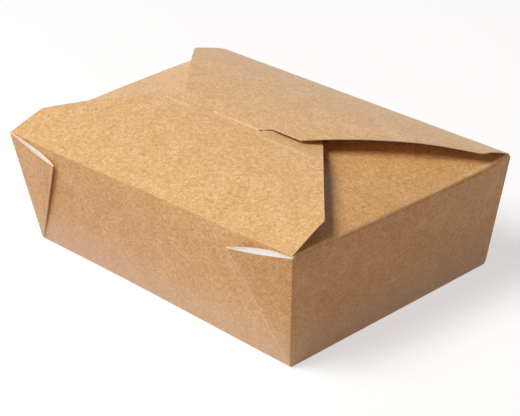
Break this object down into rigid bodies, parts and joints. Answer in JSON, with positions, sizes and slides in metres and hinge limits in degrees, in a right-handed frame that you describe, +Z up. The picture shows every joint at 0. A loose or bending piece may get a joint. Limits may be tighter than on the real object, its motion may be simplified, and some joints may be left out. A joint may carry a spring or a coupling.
{
  "type": "takeaway box",
  "caption": "Folded kraft board food box: leaning walls, pocketed corner gussets, dust flaps and two arched lid flaps that lock with a tongue in a slit.",
  "frame": {"origin": "centre of the bottom, on the surface the box stands on", "axes": "+X along the long walls, +Y from the front wall to the back wall, +Z up"},
  "size_m": [0.216, 0.1666, 0.0812],
  "materials": {
    "kraft_board": "uncoated brown kraft outside, white coating inside"
  },
  "bodies": {
    "box": {"box_body": "kraft_board"},
    "lid_flap": {"back_flap": "kraft_board"}
  },
  "joints": [
    {"name": "back_fold", "type": "hinge", "parent": "box", "child": "lid_flap", "pos_m": [0, 0.07777, 0.06377], "axis": [-1, 0, 0], "range_deg": [0, 180]}
  ]
}
